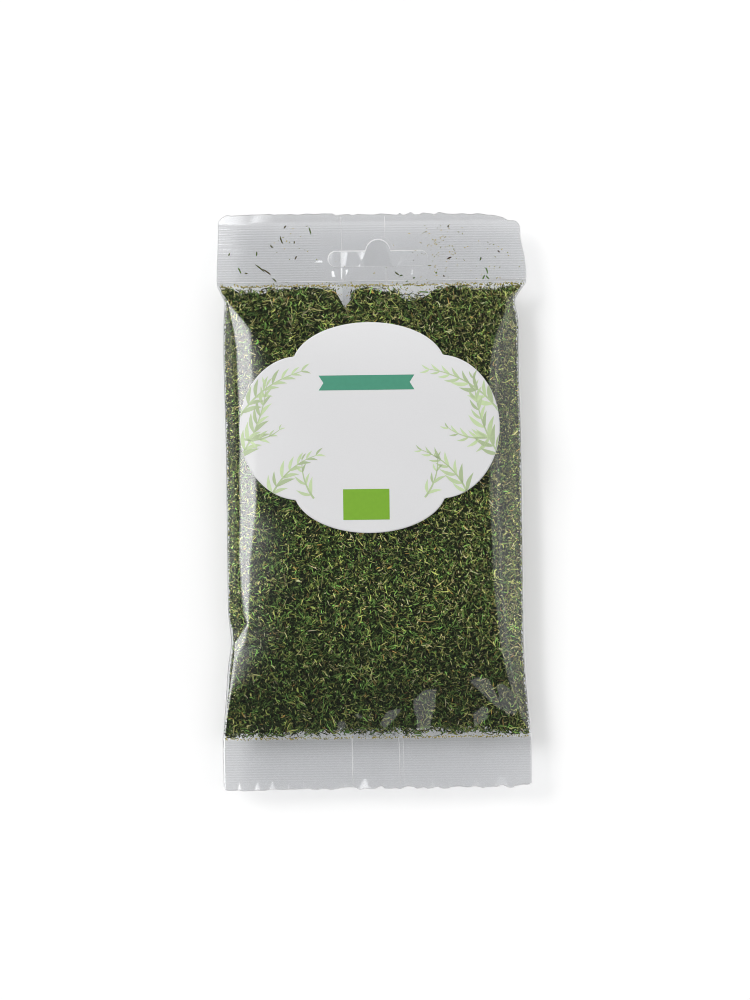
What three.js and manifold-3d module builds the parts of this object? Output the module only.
// A heat-sealed packet of dried dill, lying on its back: a clear film tube crimped shut at both
// ends, the loose dried leaf inside it, and a scalloped paper label on its front.
// Millimetres, +Z up. The origin is on the surface it lies on, under the middle of the packet.
// +Y points to the sealed end with the hang slot, and the label faces +Z.
import * as THREE from "three";
import { mergeVertices } from "three/addons/utils/BufferGeometryUtils.js";
import Module from "manifold-3d";

const wasm = await Module();
wasm.setup();

// Packet
const LENGTH = 183;
const TUBE_WIDTH = 98;
const FILLED_WIDTH = 92.4;
const TOP_SEAL = 22.8;
const BOTTOM_SEAL = 16.3;
const TOP_LINE = LENGTH / 2 - TOP_SEAL;
const BOTTOM_LINE = BOTTOM_SEAL - LENGTH / 2;

// Film, drawn thicker than the real 0.04 mm so that it is a solid
const FILM = 0.4;
const SEAL_THICKNESS = 0.5;
const SEAM_LEVEL = 7;
const GAP = 0.3;
const RIM = 0.05;

// Filled shape: both faces leave the seal lines in a gentle curve. On the front the left side is
// rounded over and the right side is a flat panel that ends in a crease.
const FRONT_RISE = 8.2;
const FRONT_CROWN = 0.2;
const TOP_TAPER = 12;
const BOTTOM_TAPER = 26;
const LEFT_ROUND = 12;
const RIGHT_SLOPE = 0.9;
const CREASE_SHARPNESS = 12;
const BACK_FALL = SEAM_LEVEL - SEAL_THICKNESS / 2;
const BACK_FULLNESS = 1.22;
const BACK_ROUND = 13;
const STEEPEST = 2.2;

// Outline: the tube's flat width at the seals, drawn in where it is filled, with a small pinch
const TOP_CORNER = 7;
const BOTTOM_CORNER = 33;
const CORNER_CURVE = 1.3;
const PINCH_AT = -44;
const PINCH_DEPTH = 0.9;
const PINCH_REACH = 7;

// Crimp and cut edges
const RIDGE_PITCH = 1.6;
const RIDGE_HEIGHT = 0.22;
const RAGGED_DEPTH = 1.1;
const RAGGED_STEPS = 26;
const DROOP = 4;
const DROOP_FROM = 32;

// Hang slot, die-cut with its tab left in
const SLOT_WIDTH = 32;
const SLOT_HEIGHT = 5.2;
const SLOT_DOME_RADIUS = 4;
const SLOT_DOME_RISE = 3.6;
const SLOT_X = 2.1;
const SLOT_BOTTOM = 74.4;
const SLOT_KERF = 0.5;
const TAB_HINGE = 12;

// Lap seam down the back
const LAP_LEFT = -8.5;
const LAP_RIGHT = 6;
const LAP_LOW = BOTTOM_LINE + 10;
const LAP_HIGH = TOP_LINE - 9;

// Label, four overlapping lobes
const LABEL_THICKNESS = 0.3;
const LABEL_X = -1.3;
const LABEL_Y = 23.2;
const SIDE_LOBE = { offset: 22.1, across: 19, along: 22.7 };
const END_LOBE = { offset: 19.5, across: 24.1, along: 13.8 };
const LABEL_POINTS = 96;

// Dill
const LEAF_COUNT = 370;
const LEAF_RADIUS = 0.46;
const LEAF_LENGTHS = [3.2, 7.5];
const LEAF_STAND = 0.8;
const DILL_TOP_SPACE = 4;
const DILL_BOTTOM_SPACE = 1.2;
const SEED = 1847;

const COLUMNS = 22;
const ROWS = 20;

// Half width of the packet's outline at y. side is -1 on the left and 1 on the right.
function halfWidth(y, side) {
  const body = FILLED_WIDTH / 2;
  const flare = TUBE_WIDTH / 2 - body;
  const top = Math.max(0, 1 - (TOP_LINE - y) / TOP_CORNER) ** CORNER_CURVE;
  const bottom = Math.max(0, 1 - (y - BOTTOM_LINE) / BOTTOM_CORNER) ** CORNER_CURVE;
  const pinch = side < 0 ? PINCH_DEPTH * Math.exp(-(((y - PINCH_AT) / PINCH_REACH) ** 2)) : 0;
  return body + flare * Math.min(1, top + bottom) - pinch;
}

// Share of the full height reached at y: nothing at the seal lines, nearly all in the middle.
function fullness(y) {
  const top = 1 - Math.exp(-Math.max(0, TOP_LINE - y) / TOP_TAPER);
  const bottom = 1 - Math.exp(-Math.max(0, y - BOTTOM_LINE) / BOTTOM_TAPER);
  return top * bottom;
}

// Share of the full height reached at one distance in from an edge rounded to a quarter ellipse.
function roundedEdge(distance, reach) {
  const left = 1 - Math.min(1, Math.max(0, distance / reach));
  return Math.sqrt(1 - left * left);
}

// Height of the front above the seams.
function frontRise(x, y) {
  const full = fullness(y);
  if (full <= 0) return 0;
  const crown = 1 + FRONT_CROWN * (1 - (x / (FILLED_WIDTH / 2)) ** 2);
  const level = FRONT_RISE * full * crown;
  const left = level * roundedEdge(halfWidth(y, -1) + x, LEFT_ROUND * full);
  const right = RIGHT_SLOPE * (halfWidth(y, 1) - x);
  if (left <= 0 || right <= 0) return 0;
  return (left ** -CREASE_SHARPNESS + right ** -CREASE_SHARPNESS) ** (-1 / CREASE_SHARPNESS);
}

// Depth of the back below the seams. It ends flat where the packet lies on the surface.
function backFall(x, y) {
  const full = fullness(y);
  if (full <= 0) return 0;
  const distance = halfWidth(y, Math.sign(x) || 1) - Math.abs(x);
  return Math.min(BACK_FALL, BACK_FALL * BACK_FULLNESS * full * roundedEdge(distance, BACK_ROUND * full));
}

// Level of a face moved in by an inset, measured square to the face.
function movedIn(face, x, y, inset) {
  const step = 0.4;
  const slopeX = (face(x + step, y) - face(x - step, y)) / (2 * step);
  const slopeY = (face(x, y + step) - face(x, y - step)) / (2 * step);
  return face(x, y) - inset * Math.min(STEEPEST, Math.hypot(1, slopeX, slopeY));
}

// Turns a closed geometry into a solid that can be cut and joined.
function solidOf(geometry) {
  const bare = geometry.index ? geometry.toNonIndexed() : geometry.clone();
  bare.deleteAttribute("normal");
  bare.deleteAttribute("uv");
  const merged = mergeVertices(bare, 1e-4);
  return new wasm.Manifold(
    new wasm.Mesh({
      numProp: 3,
      vertProperties: merged.attributes.position.array,
      triVerts: new Uint32Array(merged.index.array),
    }),
  );
}

// Turns a solid back into a three.js geometry.
function geometryOf(solid) {
  const mesh = solid.getMesh();
  const positions = new Float32Array(mesh.numVert * 3);
  for (let i = 0; i < mesh.numVert; i++) {
    positions.set(mesh.vertProperties.subarray(i * mesh.numProp, i * mesh.numProp + 3), i * 3);
  }
  const geometry = new THREE.BufferGeometry();
  geometry.setAttribute("position", new THREE.BufferAttribute(positions, 3));
  geometry.setIndex(new THREE.BufferAttribute(mesh.triVerts, 1));
  geometry.computeVertexNormals();
  return geometry;
}

// The biggest closed surface of a solid, without specks and pockets left over by a cut.
function largest(solid) {
  return solid.decompose().reduce((a, b) => (b.volume() > a.volume() ? b : a));
}

// Even steps from -1 to 1, drawn closer together towards both ends.
function crowded(steps) {
  return Array.from({ length: steps + 1 }, (_, i) => {
    const t = (2 * i) / steps - 1;
    return t * (1.32 - 0.32 * t * t);
  });
}

// Closed slab between two surfaces over a grid of points. place(i, j) gives the plan position.
function slab(rows, columns, place, upper, lower) {
  const positions = [];
  const index = [];
  const width = columns + 1;
  const layer = (rows + 1) * width;
  for (const level of [upper, lower]) {
    for (let i = 0; i <= rows; i++) {
      for (let j = 0; j <= columns; j++) {
        const [x, y] = place(i, j);
        positions.push(x, y, level(x, y));
      }
    }
  }
  const quad = (a, b, c, d) => index.push(a, b, c, a, c, d);
  for (let i = 0; i < rows; i++) {
    for (let j = 0; j < columns; j++) {
      const a = i * width + j;
      quad(a, a + 1, a + width + 1, a + width);
      quad(layer + a, layer + a + width, layer + a + width + 1, layer + a + 1);
    }
  }
  for (let j = 0; j < columns; j++) {
    const far = rows * width + j;
    quad(layer + j, layer + j + 1, j + 1, j);
    quad(far, far + 1, layer + far + 1, layer + far);
  }
  for (let i = 0; i < rows; i++) {
    const a = i * width;
    const b = a + columns;
    quad(a, a + width, layer + a + width, layer + a);
    quad(layer + b, layer + b + width, b + width, b);
  }
  const geometry = new THREE.BufferGeometry();
  geometry.setAttribute("position", new THREE.Float32BufferAttribute(positions, 3));
  geometry.setIndex(index);
  return geometry;
}

// Solid pillow lying inset below the outer surface, from seal line to seal line. Its rim is edge
// thick on each side of the seams' level.
function pillow(inset, edge) {
  const rowAt = crowded(ROWS);
  const columnAt = crowded(COLUMNS);
  const half = SEAL_THICKNESS / 2;
  const place = (i, j) => {
    const y = (BOTTOM_LINE + TOP_LINE) / 2 + (rowAt[i] * (TOP_LINE - BOTTOM_LINE)) / 2;
    const side = columnAt[j] < 0 ? -1 : 1;
    return [columnAt[j] * (halfWidth(y, side) - inset), y];
  };
  const upper = (x, y) => SEAM_LEVEL + Math.max(edge, half + movedIn(frontRise, x, y, inset));
  const lower = (x, y) => SEAM_LEVEL - Math.max(edge, half + movedIn(backFall, x, y, inset));
  return solidOf(slab(ROWS, COLUMNS, place, upper, lower));
}

// Solid box between two corners.
function box(low, high) {
  const size = high.map((v, k) => v - low[k]);
  const geometry = new THREE.BoxGeometry(...size);
  geometry.translate(...high.map((v, k) => (v + low[k]) / 2));
  return solidOf(geometry);
}

// Solid made by carrying an outline drawn in plan straight up between two levels.
function upright(shape, low, high, curveSegments = 8) {
  const geometry = new THREE.ExtrudeGeometry(shape, {
    depth: high - low,
    bevelEnabled: false,
    curveSegments,
  });
  geometry.translate(0, 0, low);
  return solidOf(geometry);
}

// Outline of one crimped end in plan. The outer edge is a ragged cut, and the top one droops at
// its right corner.
function sealOutline(line, edge) {
  const half = TUBE_WIDTH / 2;
  const outwards = Math.sign(edge);
  const shape = new THREE.Shape();
  shape.moveTo(-half, line - outwards * 0.6);
  for (let i = 0; i <= RAGGED_STEPS; i++) {
    const x = -half + (TUBE_WIDTH * i) / RAGGED_STEPS;
    const wave = 0.5 + 0.3 * Math.sin(2.1 * i + edge) + 0.2 * Math.sin(5.3 * i);
    const corner = i === 0 || i === RAGGED_STEPS ? 1 : wave;
    const along = Math.max(0, (x - DROOP_FROM) / (half - DROOP_FROM));
    const droop = edge > 0 ? DROOP * along ** 2 : 0;
    shape.lineTo(x, edge - outwards * (droop + RAGGED_DEPTH * Math.max(0, corner - 0.1)));
  }
  shape.lineTo(half, line - outwards * 0.6);
  shape.closePath();
  return shape;
}

// Crimped end: a thin plate whose ridges run across the packet.
function crimpedSeal(line, edge) {
  const low = Math.min(line, edge) - 1;
  const high = Math.max(line, edge) + 1;
  const steps = Math.round((2 * (high - low)) / RIDGE_PITCH);
  const profile = new THREE.Shape();
  const level = (k) => SEAM_LEVEL + (k % 2 ? RIDGE_HEIGHT : -RIDGE_HEIGHT) / 2;
  const at = (k) => low + ((high - low) * k) / steps;
  for (let k = 0; k <= steps; k++) {
    const z = level(k) + SEAL_THICKNESS / 2;
    if (k === 0) profile.moveTo(at(k), z);
    else profile.lineTo(at(k), z);
  }
  for (let k = steps; k >= 0; k--) profile.lineTo(at(k), level(k) - SEAL_THICKNESS / 2);
  profile.closePath();
  const geometry = new THREE.ExtrudeGeometry(profile, { depth: TUBE_WIDTH + 2, bevelEnabled: false });
  // The profile is drawn in y and z, and is carried along x.
  geometry.applyMatrix4(
    new THREE.Matrix4().set(0, 0, 1, -TUBE_WIDTH / 2 - 1, 1, 0, 0, 0, 0, 1, 0, 0, 0, 0, 0, 1),
  );
  return solidOf(geometry).intersect(upright(sealOutline(line, edge), 0, 2 * SEAM_LEVEL));
}

// Slot outline, a wide slot with round ends and a dome in the middle, drawn in by an inset.
function slotOutline(inset) {
  const radius = SLOT_HEIGHT / 2 - inset;
  const arm = SLOT_WIDTH / 2 - SLOT_HEIGHT / 2;
  const middle = SLOT_BOTTOM + SLOT_HEIGHT / 2;
  const domeRadius = SLOT_DOME_RADIUS - inset;
  const domeMiddle = SLOT_BOTTOM + SLOT_HEIGHT + SLOT_DOME_RISE - SLOT_DOME_RADIUS;
  const shoulder = Math.asin((middle + radius - domeMiddle) / domeRadius);
  const shape = new THREE.Shape();
  shape.moveTo(SLOT_X - arm, middle - radius);
  shape.lineTo(SLOT_X + arm, middle - radius);
  shape.absarc(SLOT_X + arm, middle, radius, -Math.PI / 2, Math.PI / 2, false);
  shape.absarc(SLOT_X, domeMiddle, domeRadius, shoulder, Math.PI - shoulder, false);
  shape.absarc(SLOT_X - arm, middle, radius, Math.PI / 2, (3 * Math.PI) / 2, false);
  return shape;
}

// Cut line of the hang slot: a narrow kerf all round the tab, apart from its hinge.
function slotKerf() {
  const kerf = upright(slotOutline(0), 0, 2 * SEAM_LEVEL).subtract(
    upright(slotOutline(SLOT_KERF), 0, 2 * SEAM_LEVEL),
  );
  const hinge = box(
    [SLOT_X - TAB_HINGE / 2, SLOT_BOTTOM - 1, 0],
    [SLOT_X + TAB_HINGE / 2, SLOT_BOTTOM + SLOT_KERF + 0.2, 2 * SEAM_LEVEL],
  );
  return kerf.subtract(hinge);
}

// Strip of the back between two insets, from one value of x to another.
function backStrip(outer, inner, left, right, shorter) {
  const bounds = box([left, LAP_LOW + shorter, -1], [right, LAP_HIGH - shorter, SEAM_LEVEL - 1]);
  return bounds.intersect(pillow(outer, RIM)).subtract(pillow(inner, RIM));
}

// The film in one piece: the filled tube, its crimped ends and the lap seam down the back. The
// two layers of the lap stay a little apart, so that the inside isn't a sealed hollow.
function filmPouch() {
  const layers = 2 * FILM + GAP;
  const lap = backStrip(0, layers, LAP_LEFT - 1.2, LAP_RIGHT, 0);
  const between = backStrip(FILM, FILM + GAP, LAP_LEFT - GAP, LAP_RIGHT + 1, 1);
  const mouth = backStrip(-1, FILM + GAP, LAP_LEFT - GAP, LAP_LEFT, 1);
  return pillow(0, SEAL_THICKNESS / 2)
    .subtract(pillow(FILM, RIM))
    .add(lap)
    .subtract(between)
    .subtract(mouth)
    .add(crimpedSeal(TOP_LINE, LENGTH / 2))
    .add(crimpedSeal(BOTTOM_LINE, -LENGTH / 2))
    .subtract(slotKerf());
}

// Distance from the label's middle to its edge in one direction. The outline is the outermost of
// four ellipses, two at the sides and two at the ends.
function labelReach(angle) {
  const dx = Math.cos(angle);
  const dy = Math.sin(angle);
  const lobes = [
    [SIDE_LOBE.offset, 0, SIDE_LOBE],
    [-SIDE_LOBE.offset, 0, SIDE_LOBE],
    [0, END_LOBE.offset, END_LOBE],
    [0, -END_LOBE.offset, END_LOBE],
  ];
  return Math.max(
    ...lobes.map(([cx, cy, lobe]) => {
      const a = (dx / lobe.across) ** 2 + (dy / lobe.along) ** 2;
      const b = (dx * cx) / lobe.across ** 2 + (dy * cy) / lobe.along ** 2;
      const c = (cx / lobe.across) ** 2 + (cy / lobe.along) ** 2 - 1;
      const root = b * b - a * c;
      return root < 0 ? 0 : (b + Math.sqrt(root)) / a;
    }),
  );
}

// The label: a thin sheet that follows the front of the film.
function paperLabel() {
  const points = Array.from({ length: LABEL_POINTS }, (_, k) => {
    const angle = (2 * Math.PI * k) / LABEL_POINTS;
    const reach = labelReach(angle);
    return new THREE.Vector2(LABEL_X + reach * Math.cos(angle), LABEL_Y + reach * Math.sin(angle));
  });
  const shape = new THREE.Shape(points);
  return upright(shape, SEAM_LEVEL + 1, 3 * SEAM_LEVEL)
    .intersect(pillow(-GAP - LABEL_THICKNESS, RIM))
    .subtract(pillow(-GAP, RIM));
}

// Repeatable random numbers from 0 to 1.
function randomFrom(seed) {
  let state = seed;
  return () => {
    state = (state * 1664525 + 1013904223) % 4294967296;
    return state / 4294967296;
  };
}

// One scrap of leaf: a slim three-sided spindle.
function leafScrap(middle, along, out, length) {
  const sideways = new THREE.Vector3().crossVectors(out, along).normalize();
  const tips = [-1, 1].map((end) => middle.clone().addScaledVector(along, (end * length) / 2));
  const ring = [0, 1, 2].map((k) => {
    const turn = (2 * Math.PI * k) / 3;
    return middle
      .clone()
      .addScaledVector(out, LEAF_RADIUS * Math.cos(turn))
      .addScaledVector(sideways, LEAF_RADIUS * Math.sin(turn));
  });
  const positions = [];
  for (let k = 0; k < 3; k++) {
    const [a, b] = [ring[k], ring[(k + 1) % 3]];
    for (const corner of [tips[1], b, a, tips[0], a, b]) positions.push(...corner.toArray());
  }
  const geometry = new THREE.BufferGeometry();
  geometry.setAttribute("position", new THREE.Float32BufferAttribute(positions, 3));
  return solidOf(geometry);
}

// The dill: one packed mass that fills the film, with scraps of leaf standing out of it all over.
function driedDill() {
  const random = randomFrom(SEED);
  const core = FILM + GAP + LEAF_STAND;
  const low = BOTTOM_LINE + DILL_BOTTOM_SPACE;
  const high = TOP_LINE - DILL_TOP_SPACE;
  const within = (solid, trim) =>
    solid.intersect(box([-TUBE_WIDTH, low + trim, -1], [TUBE_WIDTH, high - trim, 3 * SEAM_LEVEL]));
  const mass = within(pillow(core, 0.4), 2.5);
  const room = within(pillow(FILM + GAP + RIM, RIM), 0);
  const lap = backStrip(-1, 2 * FILM + 2 * GAP, LAP_LEFT - 1.5, LAP_RIGHT + GAP, -GAP);
  const scraps = [];
  for (let n = 0; n < LEAF_COUNT; n++) {
    const side = n % 2 === 0 ? 1 : -1;
    const face = side > 0 ? frontRise : backFall;
    const y = low + 4 + (high - low - 8) * random();
    const u = 1.94 * random() - 0.97;
    const x = u * (halfWidth(y, Math.sign(u)) - 1.4 * core);
    const level = (px, py) => SEAM_LEVEL + side * (SEAL_THICKNESS / 2 + movedIn(face, px, py, core));
    const step = 0.5;
    const slopeX = (level(x + step, y) - level(x - step, y)) / (2 * step);
    const slopeY = (level(x, y + step) - level(x, y - step)) / (2 * step);
    const out = new THREE.Vector3(-slopeX, -slopeY, 1).normalize().multiplyScalar(side);
    const turn = Math.PI * random();
    const flat = new THREE.Vector3(Math.cos(turn), Math.sin(turn), 0);
    const along = flat.addScaledVector(out, -flat.dot(out)).normalize();
    const length = LEAF_LENGTHS[0] + (LEAF_LENGTHS[1] - LEAF_LENGTHS[0]) * random() ** 2;
    const middle = new THREE.Vector3(x, y, level(x, y)).addScaledVector(out, 0.18);
    scraps.push(leafScrap(middle, along, out, length));
  }
  return largest(wasm.Manifold.union([mass, ...scraps]).intersect(room).subtract(lap));
}

const packet = new THREE.Group();

// Adds one named piece to the packet.
function piece(name, solid, colour, roughness, opacity = 1) {
  const material = new THREE.MeshStandardMaterial({
    color: colour,
    roughness,
    metalness: 0,
    transparent: opacity < 1,
    opacity,
  });
  const mesh = new THREE.Mesh(geometryOf(solid), material);
  mesh.name = name;
  packet.add(mesh);
}

piece("film_pouch", filmPouch(), 0xdfe3e6, 0.12, 0.3);
piece("dried_dill", driedDill(), 0x3f5226, 0.85);
piece("paper_label", paperLabel(), 0xededed, 0.6);

export default packet;
